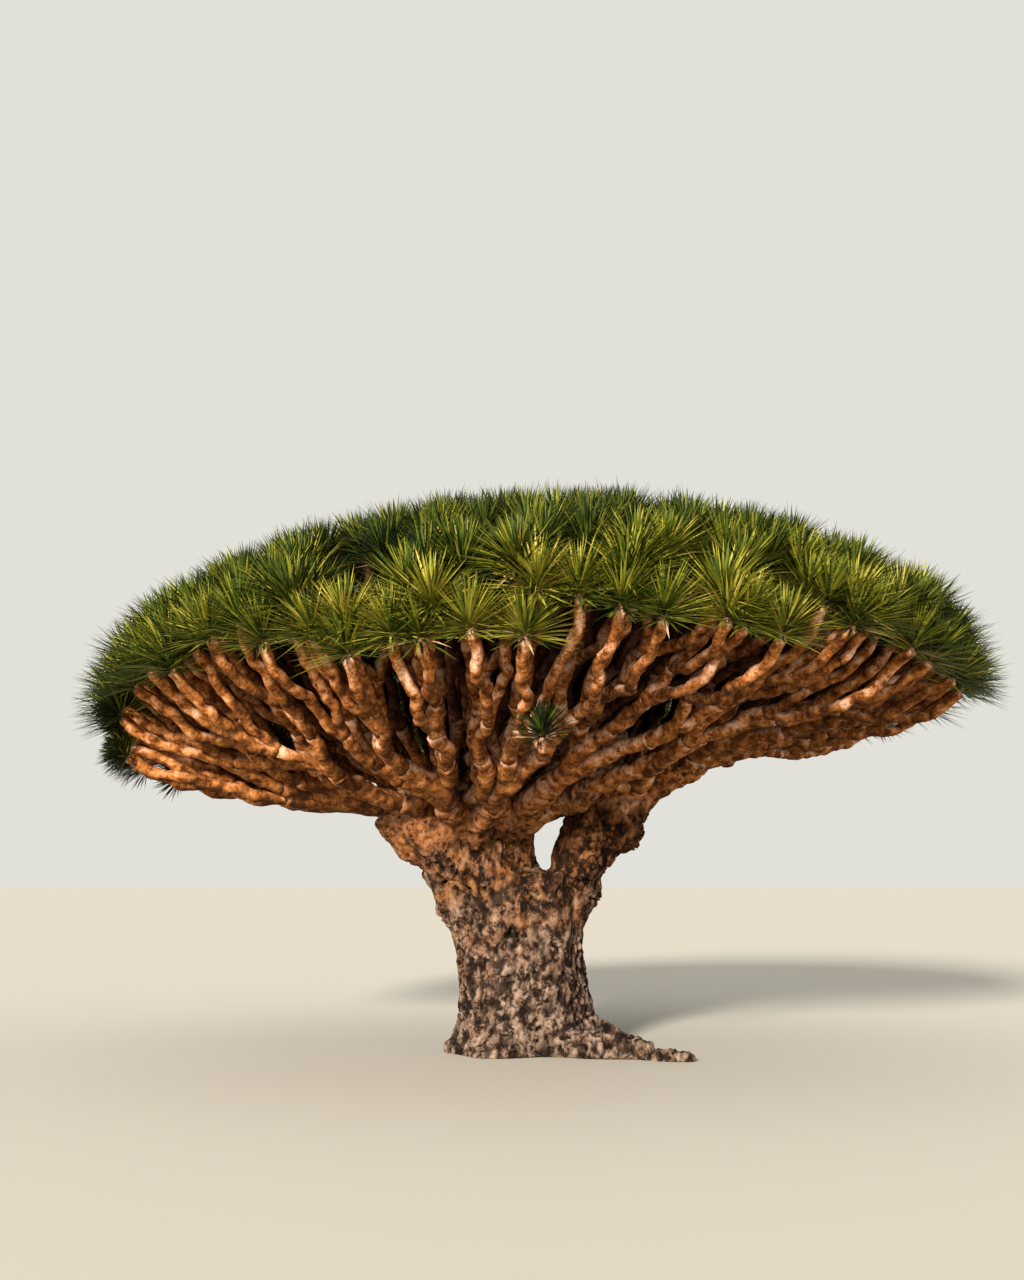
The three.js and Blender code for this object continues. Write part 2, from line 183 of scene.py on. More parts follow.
def makePath(points, radii, before=0.0, key=0, size=paths["wander"], spacing=paths["spacing"]):
    line = wander(smoothLine(points, spacing), size, key)
    along = [before]
    for a, b in zip(line, line[1:]):
        along.append(along[-1] + (b - a).length)
    count = len(line) - 1
    thick = [mix(radii[0], radii[1], i / count) for i in range(count + 1)]
    return {"line": line, "radii": thick, "along": along}


def growLimbs():
    # The thick boughs and limbs, the finer ones, and where the twigs begin on each
    limbs, fineLimbs, starts = [], [], []
    for number, plan in enumerate(boughPlan()):
        ring, head, sag, goal = plan["ring"], plan["head"], plan["sag"], plan["goal"]
        end = wayTo(head, goal, growth["boughReach"], sag)
        bend = wayTo(head, goal, growth["boughReach"] * growth["boughBendAt"], sag)
        bend.z += growth["boughLift"] * swing(plan["number"], draw["boughBend"])
        bough = makePath([head, bend, end], ring["boughRadii"], key=number)
        kind = fineLimbs if ring["name"] == "between" else limbs
        kind.append(bough)
        for j, limbGoal in enumerate(plan["goals"]):
            start = end.lerp(bend, growth["rootedBack"])
            share = mix(growth["boughReach"], growth["limbReach"], growth["limbBendAt"])
            halfway = wayTo(head, limbGoal, share, sag)
            halfway.z += growth["limbLift"] * swing(plan["number"], j, draw["limbBend"])
            tip = wayTo(head, limbGoal, growth["limbReach"], sag)
            before = bough["along"][-1]
            limb = makePath([start, halfway, tip], ring["limbRadii"], before, number + 20 * j)
            kind.append(limb)
            starts.append({"head": head, "sag": sag, "goal": limbGoal, "tip": tip,
                           "before": limb["along"][-1], "way": (tip - halfway).normalized(),
                           "radius": ring["limbRadii"][1]})
    head, goal = heads["left"], domePoint(frameDome, 0, 0)
    bend = wayTo(head, goal, growth["middleBendAt"], growth["middleSag"])
    tip = wayTo(head, goal, growth["limbReach"], 1)
    limbs.append(makePath([head, bend, tip], growth["middleRadii"], key=50))
    starts.append({"head": head, "sag": 1, "goal": goal, "tip": tip, "before": limbs[-1]["along"][-1],
                   "way": (tip - bend).normalized(), "radius": growth["middleRadii"][1]})
    return limbs, fineLimbs, starts


rosettes = {
    "count": 330, "lastAngle": math.radians(74), "bearingSwing": 0.12, "up": 2.3, "lean": 0.1,
    "rimRows": [math.radians(80), math.radians(90)], "rimCount": 50, "rimSwing": 0.045,
    "heightSwing": 0.15, "surfaceSteps": 60,
}
# Small rosettes under the left rim, where the crown hangs lowest: rows of an angle and a count
skirt = {
    "rows": [(93, 9), (96.5, 9), (99.5, 8), (102, 7)], "middle": math.radians(164),
    # light: darker leaf tints, painted shade under the rim
    "span": math.radians(36), "swing": 0.03, "up": 0.5, "size": 0.5, "light": -0.9,
}


def rosetteTips():
    # Spread evenly over the dome's surface, as seeds lie in a sunflower
    steps = rosettes["surfaceSteps"]
    angles = [rosettes["lastAngle"] * i / steps for i in range(steps + 1)]
    line = [domePoint(crownDome, angle, turn / 4) for angle in angles]
    areas = [0.0]
    for a, b in zip(line, line[1:]):
        areas.append(areas[-1] + (b - a).length * (a.y + b.y))
    places = []
    for number in range(rosettes["count"]):
        wanted = areas[-1] * (number + 0.5) / rosettes["count"]
        bearing = number * goldenAngle + rosettes["bearingSwing"] * swing(number, draw["bearing"])
        places.append((float(np.interp(wanted, areas, angles)), bearing, {}))

    def add(angle, bearing, most, more):
        shift = [most * swing(len(places), draw[name]) for name in ("goalAngle", "bearing")]
        places.append((angle + shift[0], bearing + shift[1], more))

    for row, angle in enumerate(rosettes["rimRows"]):
        for i in range(rosettes["rimCount"]):
            add(angle, turn * (i + 0.5 * row) / rosettes["rimCount"], rosettes["rimSwing"], {})
    low = {"skirt": True, "size": skirt["size"], "light": skirt["light"]}
    for degrees, count in skirt["rows"]:
        for i in range(count):
            bearing = skirt["middle"] + skirt["span"] * (2 * (i + 0.5) / count - 1)
            add(math.radians(degrees), bearing, skirt["swing"], low)
    tips = []
    for number, (angle, bearing, more) in enumerate(places):
        lean = Vector([rosettes["lean"] * swing(number, draw["lean"] + way) for way in range(3)])
        axis = domeAxis(angle, bearing)
        if more:
            axis = Vector((math.cos(bearing), math.sin(bearing), skirt["up"]))
        foot = domePoint(crownDome, angle, bearing)
        lift = swing(number, draw["lift"])
        if foot.y > 0:
            lift = abs(lift)  # no rosette hangs low at the back
        foot.z += rosettes["heightSwing"] * lift * math.sin(angle) ** 4
        tips.append({"foot": foot, "axis": (axis + lean).normalized(),
                     "number": number, "angle": angle, "side": abs(math.cos(bearing)), "size": 1.0, **more})
    return tips


twig = {
    "tipRadius": 0.046, "thinning": 0.36, "forkShare": 0.33, "rootedBack": 0.3,
    "sway": 0.1, "aside": 0.07, "endBend": 0.3, "endMost": 0.13, "endUp": 0.45, "firstParts": 3,
    "spacing": 0.042,
}


def partBunch(tips, count=2):
    # A bunch of tips parted across the way in which they spread most
    spread = [np.ptp([tip["foot"][way] for tip in tips]) for way in range(3)]
    widest = int(np.argmax(spread))
    ordered = sorted(tips, key=lambda tip: tip["foot"][widest])
    cuts = [len(ordered) * i // count for i in range(count + 1)]
    return [ordered[a:b] for a, b in zip(cuts, cuts[1:])]


def growTwigs(starts, tips):
    # The twigs that fork from the tip of each limb until each carries one rosette
    twigs = []
    bunches = [[] for _ in starts]
    for tip in tips:
        distances = [(start["goal"] - tip["foot"]).length for start in starts]
        bunches[distances.index(min(distances))].append(tip)

    def grow(start, before, origin, way, shareSoFar, bunch, total):
        key = bunch[0]["number"] + 1000 * len(bunch)
        radius = max(twig["tipRadius"], start["radius"] * (len(bunch) / total) ** twig["thinning"])
        if len(bunch) == 1:
            tip = bunch[0]
            step = tip["foot"] - origin
            arrives = (step.normalized().lerp(tip["axis"], twig["endUp"])).normalized()
            bend = tip["foot"] - arrives * min(twig["endBend"] * step.length, twig["endMost"])
            radii = (radius, twig["tipRadius"])
            twigs.append(makePath([origin, bend, tip["foot"]], radii, before, key, spacing=twig["spacing"]))
            return
        share = mix(shareSoFar, 1, twig["forkShare"])
        to = wayTo(start["head"], average([tip["foot"] for tip in bunch]), share, start["sag"])
        distance = (to - origin).length
        bend = origin.lerp(to, 0.5) + way * twig["sway"] * distance
        side = way.cross(Vector((0, 0, 1))).normalized()
        bend += side * twig["aside"] * distance * swing(key, draw["twigBend"])
        back = origin - way * twig["rootedBack"] * radius
        path = makePath([back, bend, to], (radius, radius), before, key, spacing=twig["spacing"])
        twigs.append(path)
        onward = (to - bend).normalized()
        for part in partBunch(bunch):
            grow(start, path["along"][-1], to, onward, share, part, total)

    for start, bunch in zip(starts, bunches):
        high = [tip for tip in bunch if not tip.get("skirt")]
        low = [tip for tip in bunch if tip.get("skirt")]
        for group in (high, low):
            count = min(twig["firstParts"], len(group))
            for part in partBunch(group, count) if count else []:
                grow(start, start["before"], start["tip"], start["way"], growth["limbReach"], part,
                     len(group))
    return twigs


# One small rosette inside the crown, on its own thin twig
innerTuft = {
    # light: darker leaf tints, painted shade inside the crown
    "foot": (0.132, -3.0, 2.555), "axis": (-0.1, -0.3, 1.0), "bend": 0.08, "size": 0.64, "light": -1.1,
    "angle": 0.6, "radii": (0.03, 0.026), "key": 9, "wander": 0.01,
}


def growInnerTuft(limbs, twigs, tips):
    foot, axis = Vector(innerTuft["foot"]), Vector(innerTuft["axis"]).normalized()
    places = [((point - foot).length, point, along) for path in [*limbs, *twigs]
              for point, along in zip(path["line"], path["along"])]
    _, root, along = min(places, key=lambda entry: entry[0])
    line = [root, foot - axis * innerTuft["bend"], foot]
    twigs.append(makePath(line, innerTuft["radii"], along, innerTuft["key"], innerTuft["wander"]))
    tips.append({"foot": foot, "axis": axis, "number": len(tips), "angle": innerTuft["angle"], "side": 0.0,
                 "size": innerTuft["size"], "light": innerTuft["light"]})


# Meshes from arrays

tubes = {
    "branchSides": 10, "twigSides": 7, "domedEnds": 0.3,
    "thinnestBranch": 0.055,  # a path that starts thinner is a twig
    "bumps": [(0.3, 11), (0.16, 27)],  # a share of the radius, and a number to the metre
}


def ringFaces(rows, sides):
    # The four-cornered faces between rings of points
    k = np.arange(sides)
    after = (k + 1) % sides
    faces = []
    for low in range(0, (rows - 1) * sides, sides):
        faces += np.stack([low + k, low + after, low + sides + after, low + sides + k], 1).tolist()
    return faces


def sweep(path, sides, bumps=()):
    # A closed tube along a path
    line = np.array([tuple(point) for point in path["line"]])
    ways = np.gradient(line, axis=0)
    ways /= np.linalg.norm(ways, axis=1)[:, None]
    angles = np.arange(sides) * turn / sides
    side = np.cross(ways[0], (0.3, 0.2, 1.0) if abs(ways[0][2]) < 0.9 else (1.0, 0.0, 0.0))
    ringList = []
    for point, way, radius in zip(line, ways, path["radii"]):
        side = side - way * (side @ way)
        side /= np.linalg.norm(side)
        other = np.cross(way, side)
        out = np.cos(angles)[:, None] * side + np.sin(angles)[:, None] * other
        reach = np.full(sides, radius)
        for share, perMetre in bumps:
            reach *= 1 + share * np.array([noise.noise(Vector(point + radius * o) * perMetre) for o in out])
        ringList.append(point + reach[:, None] * out)
    domed = [radius * tubes["domedEnds"] for radius in path["radii"]]
    ends = [line[0] - ways[0] * domed[0], line[-1] + ways[-1] * domed[-1]]
    points = np.concatenate([*ringList, ends])
    faces = ringFaces(len(ringList), sides)
    tip, last = len(ringList) * sides, (len(ringList) - 1) * sides
    faces += [[tip, (i + 1) % sides, i] for i in range(sides)]
    faces += [[tip + 1, last + i, last + (i + 1) % sides] for i in range(sides)]
    along = np.concatenate([np.repeat(path["along"], sides), [path["along"][0], path["along"][-1]]])
    return points, faces, along


def joinForms(forms):
    points, faces, values, count = [], [], [], 0
    for part, partFaces, partValues in forms:
        points.append(part)
        values.append(partValues)
        faces += [[index + count for index in face] for face in partFaces]
        count += len(part)
    return np.concatenate(points), faces, np.concatenate(values)


def makeMesh(name, points, faces, smooth=True):
    mesh = bpy.data.meshes.new(name)
    mesh.from_pydata(points.tolist(), [], faces)
    mesh.polygons.foreach_set("use_smooth", np.full(len(mesh.polygons), smooth))
    mesh.update()
    piece = bpy.data.objects.new(name, mesh)
    bpy.context.scene.collection.objects.link(piece)
    return piece


def countTriangles(piece):
    return sum(len(face.vertices) - 2 for face in piece.data.polygons)


def setValues(piece, **named):
    for name, values in named.items():
        attribute = piece.data.attributes.new(name, "FLOAT", "POINT")
        attribute.data.foreach_set("value", np.asarray(values, np.float32))


def isBranch(path):
    return path["radii"][0] > tubes["thinnestBranch"]


def makeTubes(name, chosen, sides):
    points, faces, alongs = joinForms([sweep(path, sides, tubes["bumps"]) for path in chosen])
    piece = makeMesh(name, points, faces)
    setValues(piece, along=alongs, age=np.ones(len(points)), inside=deepInside(points))
    print(name, countTriangles(piece), "triangles")
    return piece


# The trunk and its two stems, as columns of oval sections

trunk = {
    "sides": 96, "rowEvery": 0.02,
    # Height, middle, half the width and half the depth
    "stations": [(0, 0.025, 0.64, 0.6), (0.09, 0.02, 0.59, 0.56), (0.26, 0.01, 0.555, 0.53),
                 (0.52, 0.005, 0.535, 0.51), (0.8, 0, 0.53, 0.5), (1.06, -0.025, 0.58, 0.505),
                 (1.3, -0.05, 0.665, 0.515), (1.56, -0.095, 0.785, 0.515)],
    "flutes": 7, "fluteDepth": 0.045, "fluteTwist": 1 / 0.9, "forkMiddle": 0.205,
    # Toward, reach, height and spread of each root flare
    "flares": [(-38, 0.25, 0.12, 0.3), (-4, 0.26, 0.19, 0.28), (62, 0.19, 0.15, 0.35),
               (128, 0.23, 0.16, 0.32), (184, 0.11, 0.19, 0.35), (238, 0.17, 0.15, 0.32)],
}
stemBase = (1.52, *trunk["stations"][-1][1:])
forkStems = [  # left and right
    (-1, [stemBase, (1.58, -0.36, 0.48, 0.515), (1.69, -0.47, 0.57, 0.52), (1.83, -0.55, 0.64, 0.53),
          (1.99, -0.6, 0.7, 0.52), (2.13, -0.56, 0.6, 0.42), (2.22, -0.5, 0.4, 0.3)]),
    (1, [stemBase, (1.58, 0.51, 0.25, 0.4), (1.7, 0.525, 0.265, 0.37), (1.82, 0.58, 0.28, 0.32),
         (1.95, 0.675, 0.32, 0.3), (2.08, 0.765, 0.34, 0.29), (2.2, 0.85, 0.34, 0.26)]),
]
groundRoots = [([(0.38, -0.06, 0.3), (0.8, -0.12, 0.09), (1.13, -0.23, 0.0)], (0.17, 0.07)),
               ([(0.28, -0.33, 0.1), (0.84, -0.64, 0.02), (1.42, -0.86, -0.01)], (0.15, 0.045))]


def sectionAt(stations, height):
    # The middle, half the width and half the depth
    heights, *rows = np.array(stations).T
    return [np.interp(height, heights, row) for row in rows]


def column(stations, flares, side=0):
    bottom, top = stations[0][0], stations[-1][0]
    rows = max(4, round((top - bottom) / trunk["rowEvery"]))
    angles = np.arange(trunk["sides"]) * turn / trunk["sides"]
    points = []
    for height in np.linspace(bottom, top, rows + 1):
        middle, width, depth = sectionAt(stations, height)
        fluted = 1 + trunk["fluteDepth"] * np.cos(trunk["flutes"] * angles + height * trunk["fluteTwist"])
        more = 0
        for toward, reach, flareHeight, spread in flares:
            turned = angles - math.radians(toward)
            away = np.arctan2(np.sin(turned), np.cos(turned))
            more = more + reach * np.exp(-height / flareHeight - (away / spread) ** 2)
        x = middle + (width * fluted + more) * np.cos(angles)
        if side:
            x = side * np.maximum(side * x, side * trunk["forkMiddle"])
        y = (depth * fluted + more) * np.sin(angles)
        points.append(np.stack([x, y, np.full_like(x, height)], 1))
    ends = [list(range(trunk["sides"]))[::-1], [rows * trunk["sides"] + i for i in range(trunk["sides"])]]
    points = np.concatenate(points)
    return points, [*ringFaces(rows + 1, trunk["sides"]), *ends], np.zeros(len(points))


# The bark mesh: every thick part fused by a remesh, then pushed in and out along its normals

wood = {
    "voxel": 0.0184, "sides": 16, "smoothing": 3, "flatFoot": (-0.01, 0.06),
    # The heights between which trunk bark turns to limb bark, later on the right, and how they sway
    "turns": (1.4, 2.15), "later": 0.25, "laterBy": 0.5, "turnSway": 0.35, "turnScale": 2.5,
    # Ridges in which the boughs run down over the trunk: by height, their share of its section
    "ridgeRows": [(1.5, 0.88), (1.15, 0.84)], "ridgeClear": 0.35, "ridgeFrom": 0.3,
    "ridgeRadii": (0.17, 0.05),
    "rootWander": 0.1, "ridgeWander": 0.03,
}


def remesh(piece, voxel):
    modifier = piece.modifiers.new("remesh", "REMESH")
    modifier.mode = "VOXEL"
    modifier.voxel_size = voxel
    modifier.adaptivity = 0
    graph = bpy.context.evaluated_depsgraph_get()
    mesh = bpy.data.meshes.new_from_object(piece.evaluated_get(graph))
    piece.modifiers.clear()
    piece.data = mesh


def readPoints(mesh, key="co"):
    source = mesh.vertices if key == "co" else mesh.vertex_normals
    values = np.zeros(len(mesh.vertices) * 3, np.float32)
    source.foreach_get("co" if key == "co" else "vector", values)
    return values.reshape(-1, 3).astype(float)


def smoothPoints(mesh, times):
    points = readPoints(mesh)
    edges = np.zeros(len(mesh.edges) * 2, np.int32)
    mesh.edges.foreach_get("vertices", edges)
    a, b = edges.reshape(-1, 2).T
    near = np.bincount(a, minlength=len(points)) + np.bincount(b, minlength=len(points))
    for _ in range(times):
        sums = np.zeros_like(points)
        for way in range(3):
            sums[:, way] += np.bincount(a, points[b, way], len(points))
            sums[:, way] += np.bincount(b, points[a, way], len(points))
        points = mix(points, sums / near[:, None], 0.5)
    mesh.vertices.foreach_set("co", points.astype(np.float32).ravel())
    mesh.update()


def smoothStep(low, high, value):
    t = np.clip((value - low) / (high - low), 0, 1)
    return t * t * (3 - 2 * t)


trunkBark = {
    # Metres that each form stands out or in, and turns of its noise to the metre, across and upward
    "fold": 0.052, "foldScale": (2.8, 1.0), "lump": 0.046, "lumpScale": (4.6, 3.4), "lumpRough": 0.85,
    "crack": 0.034, "pit": 0.07, "cellScale": (7, 5.4), "cellBend": 1.6, "whereScale": (2.1, 1.5),
    # The edges between which each form comes on
    "crackEdges": (0.3, 0.04), "crackPlaces": (-0.25, 0.15),
    "pitEdges": (0.42, 0.18), "pitPlaces": (-0.05, 0.2),
    "foldHollow": (0.1, 0.7), "lumpHollow": (0.1, 0.5),
    # The narrow fork gap stays open, because the bark around it is calm
    "forkX": 0.2, "forkZ": 1.85, "forkReach": (0.2, 0.3), "forkCalm": 0.9,
}
limbBark = {
    "lump": 0.02, "lumpScale": 8, "lumpRough": 0.6, "ring": 0.01, "ringScale": 13, "ringAcross": 2,
    "pit": 0.018, "pitScale": 13, "pitEdges": (0.34, 0.12), "lumpHollow": (0.2, 0.7),
}


def scaled(point, scale, shift=0):
    across, upward = scale
    return Vector((point[0] * across, point[1] * across, point[2] * upward + shift))


def trunkRelief(point):
    # How far the bark stands in or out, and how hollow it is there, which sets painted shade
    fold = 1 - 2.2 * abs(noise.noise(scaled(point, trunkBark["foldScale"], 3)))
    lump = noise.fractal(scaled(point, trunkBark["lumpScale"]), trunkBark["lumpRough"], 2.1, 4)
    where = noise.noise(scaled(point, trunkBark["whereScale"], 9))
    bend = trunkBark["cellBend"] * lump
    near = noise.voronoi(scaled(point, trunkBark["cellScale"]) + Vector((bend, bend, fold)))[0]
    crack = smoothStep(*trunkBark["crackEdges"], near[1] - near[0])
    crack *= smoothStep(*trunkBark["crackPlaces"], where + 0.5 * lump)
    pit = smoothStep(*trunkBark["pitEdges"], near[0])
    pit *= smoothStep(*trunkBark["pitPlaces"], 0.4 * lump - where)
    hollow = max(0.75 * crack, pit, 0.8 * smoothStep(*trunkBark["foldHollow"], -fold),
                 0.7 * smoothStep(*trunkBark["lumpHollow"], -lump))
    wide, high = trunkBark["forkReach"]
    away = ((point[0] - trunkBark["forkX"]) / wide) ** 2 + ((point[2] - trunkBark["forkZ"]) / high) ** 2
    calm = 1 - trunkBark["forkCalm"] * math.exp(-away)
    out = trunkBark["fold"] * fold + trunkBark["lump"] * lump
    return calm * (out - trunkBark["crack"] * crack - trunkBark["pit"] * pit), hollow


def limbRelief(point, along):
    # The same for a limb, with rings of leaf scars along it
    place = Vector(point)
    lump = noise.fractal(place * limbBark["lumpScale"], limbBark["lumpRough"], 2.0, 4)
    across = limbBark["ringAcross"]
    ring = noise.noise(Vector((along * limbBark["ringScale"], point[0] * across, point[1] * across)))
    pit = smoothStep(*limbBark["pitEdges"], noise.voronoi(place * limbBark["pitScale"])[0][0])
    out = limbBark["lump"] * lump + limbBark["ring"] * ring - limbBark["pit"] * pit
    return out, max(pit, 0.6 * smoothStep(*limbBark["lumpHollow"], -lump))


# Painted shade on the bark inside the crown: how far a point lies above the limbs that sag lowest
inside = {
    "sag": 1.75, "sagSwing": 0.6, "rimSlack": 0.2, "from": 0.32, "to": 0.95,
    "right": 0.2, "rightFrom": 0.6, "rightTo": 2.4,  # more painted shade toward the right
}


def deepInside(points):
    # How much painted shade the bark gets deep inside the crown
    x = points[:, 0] - frameDome["middle"].x
    out = np.maximum(np.hypot(x, points[:, 1]), 0.01)
    sag = inside["sag"] - inside["sagSwing"] * x / out
    rim = frameDome["rim"] - inside["rimSlack"] + frameDome["slopeY"] * points[:, 1]
    low = mix(heads["left"].z, rim, np.minimum(out / frameDome["radius"], 1) ** sag)
    deep = points[:, 2] - low + inside["right"] * smoothStep(inside["rightFrom"], inside["rightTo"], x)
    return smoothStep(inside["from"], inside["to"], deep)


def growRidges():
    # Where the boughs run down over the trunk and fold its bark
    ridges = []
    for number, plan in enumerate(boughPlan()):
        way = plan["goal"] - plan["head"]
        out = Vector((way.x, way.y, 0)).normalized()
        if plan["stem"] == "left" and out.x > wood["ridgeClear"]:
            continue  # it would close the fork gap
        line = [plan["head"] + out * wood["ridgeFrom"]]
        for height, share in wood["ridgeRows"]:
            middle, width, depth = sectionAt(trunk["stations"], height)
            turned = Vector((plan["head"].x - middle, plan["head"].y, 0)) + out
            turned.normalize()
            line.append(Vector((middle + width * share * turned.x, depth * share * turned.y, height)))
        ridges.append(makePath(line, wood["ridgeRadii"], key=number, size=wood["ridgeWander"]))
    return ridges


# Boughs that cross from the left stem to the right one and close the fork gap above
crossings = [
    ([(-0.3, -0.1, 2.08), (0.3, -0.12, 2.37), (0.95, -0.1, 2.3)], (0.2, 0.17)),
    ([(-0.3, 0.15, 2.1), (0.3, 0.16, 2.4), (1.0, 0.12, 2.42)], (0.2, 0.17)),
    ([(-0.4, -0.36, 2.1), (0.1, -0.5, 2.5), (0.62, -0.62, 2.86)], (0.125, 0.09)),
    ([(0.3, -0.56, 2.62), (0.58, -0.62, 2.66), (0.88, -0.68, 2.76)], (0.1, 0.08)),
]


def nearestAlongs(lines, points, tries=6):
    # For each point the distance along of the path whose surface is nearest
    samples = [(place, radius, along) for path in lines
               for place, radius, along in zip(path["line"], path["radii"], path["along"])]
    tree = kdtree.KDTree(len(samples))
    for i, (place, _, _) in enumerate(samples):
        tree.insert(place, i)
    tree.balance()
    alongs = []
    for point in points:
        found = tree.find_n(Vector(point), tries)
        nearest = min(found, key=lambda entry: entry[2] - samples[entry[1]][1])
        alongs.append(samples[nearest[1]][2])
    return alongs


def limbShare(point):
    # 0 where the bark is the trunk's, 1 where it is a limb's
    height = point[2] - wood["later"] * smoothStep(0, wood["laterBy"], point[0])
    sway = wood["turnSway"] * noise.noise(Vector(point) * wood["turnScale"])
    return float(smoothStep(*wood["turns"], height + sway))


def pathsThrough(lines, size):
    return [makePath([Vector(place) for place in line], radii, size=size) for line, radii in lines]


def makeWood(limbs):
    forms = [column(trunk["stations"], trunk["flares"])]
    forms += [column(stations, [], side) for side, stations in forkStems]
    thick = [*limbs, *growRidges(), *pathsThrough(crossings, wood["ridgeWander"])]
    roots = pathsThrough(groundRoots, wood["rootWander"])
    forms += [sweep(path, wood["sides"]) for path in [*thick, *roots]]
    points, faces, _ = joinForms(forms)
    piece = makeMesh("wood", points, faces)
    remesh(piece, wood["voxel"])
    smoothPoints(piece.data, wood["smoothing"])
    points, normals = readPoints(piece.data), readPoints(piece.data, "normal")
    alongs = nearestAlongs(thick, points)
    # hollows: how hollow the bark is, for painted shade in the material
    hollows, moves, ages = [], [], []
    for point, along in zip(points, alongs):
        age = limbShare(point)
        lowMove, lowHollow = trunkRelief(point) if age < 1 else (0, 0)
        highMove, highHollow = limbRelief(point, along) if age > 0 else (0, 0)
        moves.append(mix(lowMove, highMove, age))
        hollows.append(mix(lowHollow, highHollow, age))
        ages.append(age)
    moves = np.array(moves) * smoothStep(*wood["flatFoot"], points[:, 2])
    points = points + normals * moves[:, None]
    points[:, 2] = np.maximum(points[:, 2], 0)
    piece.data.vertices.foreach_set("co", points.astype(np.float32).ravel())
    piece.data.polygons.foreach_set("use_smooth", np.ones(len(piece.data.polygons), bool))
    setValues(piece, along=alongs, hollow=hollows, age=ages, inside=deepInside(points))
    piece.data.update()
    print("wood", countTriangles(piece), "triangles")
    return piece


# Leaves: sword blades folded along the middle, in rosettes

leaf = {
    "count": 168, "length": 0.42, "lengthSwing": 0.08, "width": 0.0185, "fold": 0.22,
    "firstAngle": math.radians(3), "lastAngle": math.radians(91), "angleSwing": 0.06,
    "opening": 0.62, "spinSwing": 0.12,
    "youngest": 0.72, "oldest": 0.9,  # shares of the full length
    "droop": 0.06, "stub": 0.108, "stubRadius": 0.045,
    "stations": [(0.0, 0.75), (0.5, 1.0)],  # share of the length, share of the width
}
# What decides how light a leaf's tint is: its age, and painted light and shade by how low it hangs,
# how far it points up and how near it lies to the crown's sides
light = {
    "least": 1.1, "swing": 0.8, "rosetteSwing": 0.4, "old": 0.9, "middleAge": 0.4,
    "low": 1.6, "lowFrom": 0.9, "lowSpan": 0.85, "sideDark": 0.8,  # angles on the dome
    "up": 1.6, "upMost": 0.55, "upMiddle": 0.35, "dryShare": 0.03, "dryFrom": 0.8,
}
tints = {  # the tints of leaves, from the darkest to the driest, in part painted shade and light
    "leavesShade": "#1a2408", "leavesDeep": "#445311", "leavesMid": "#73731a", "leavesBright": "#a39936",
    "leavesYellow": "#c2ac50", "leavesDry": "#c0a87c",
}


def unit(vectors):
    return vectors / np.linalg.norm(vectors, axis=-1, keepdims=True)


def rosetteLeaves(tip, rng):
    # The foot, the way, the upper side, the length and the tint of each leaf of a rosette
    count = round(leaf["count"] * tip["size"] ** 0.5)
    axis = np.array(tip["axis"])
    side = unit(np.cross((0.0, 0.13, 1.0) if abs(axis[2]) < 0.99 else (1.0, 0, 0), axis))
    other = np.cross(axis, side)
    age = (np.arange(count) + 0.5) / count
    spin = np.arange(count) * goldenAngle + rng.normal(0, leaf["spinSwing"], count)
    polar = mix(leaf["firstAngle"], leaf["lastAngle"], age ** leaf["opening"])
    polar += rng.normal(0, leaf["angleSwing"], count)
    out = np.cos(spin)[:, None] * side + np.sin(spin)[:, None] * other
    way = np.cos(polar)[:, None] * axis + np.sin(polar)[:, None] * out
    upper = np.sin(polar)[:, None] * axis - np.cos(polar)[:, None] * out
    foot = np.array(tip["foot"]) + axis * (leaf["stub"] * (1 - age))[:, None]
    foot = foot + out * leaf["stubRadius"] * np.minimum(1, 0.4 + age)[:, None]
    grown = mix(leaf["youngest"], 1.0, np.minimum(1, age * 3)) * mix(1.0, leaf["oldest"], age)
    length = leaf["length"] * tip["size"] * grown * (1 + rng.normal(0, leaf["lengthSwing"], count))
    # painted light and shade: lighter low on the front and back and where leaves point up, darker at the
    # sides
    low = max(0.0, tip["angle"] - light["lowFrom"]) / light["lowSpan"]
    low *= 1 - light["sideDark"] * tip["side"] ** 2
    value = light["least"] + light["low"] * low + light["old"] * (age - light["middleAge"])
    value += rng.normal(0, light["swing"], count) + tip.get("light", 0)
    value += light["rosetteSwing"] * rng.normal()
    value += light["up"] * (np.minimum(way[:, 2], light["upMost"]) - light["upMiddle"])
    dryTint = len(tints) - 1
    tint = np.clip(np.floor(value), 0, dryTint - 1).astype(int)
    tint[rng.random(count) < light["dryShare"] * (age > light["dryFrom"])] = dryTint
    return foot, way, upper, length, tint


def leafPoints(foot, way, upper, length, rng):
    # Seven points for each leaf: two rows of three across the fold, and the tip
    side = unit(np.cross(way, upper))
    upper = np.cross(side, way)
    width = leaf["width"] * (0.9 + 0.2 * rng.random(len(foot)))
    droop = leaf["droop"] * length * (0.3 + rng.random(len(foot)) * 1.2) * (1 - way[:, 2] ** 2)
    rows = []
    for share, wide in leaf["stations"]:
        middle = foot + way * (length * share)[:, None] - np.outer(droop * share ** 2, (0, 0, 1))
        half = side * (width * wide / 2)[:, None]
        lift = upper * (width * wide * leaf["fold"])[:, None]
        rows += [middle - half + lift, middle, middle + half + lift]
    rows.append(foot + way * length[:, None] - np.outer(droop, (0, 0, 1)))
    return np.stack(rows, 1)


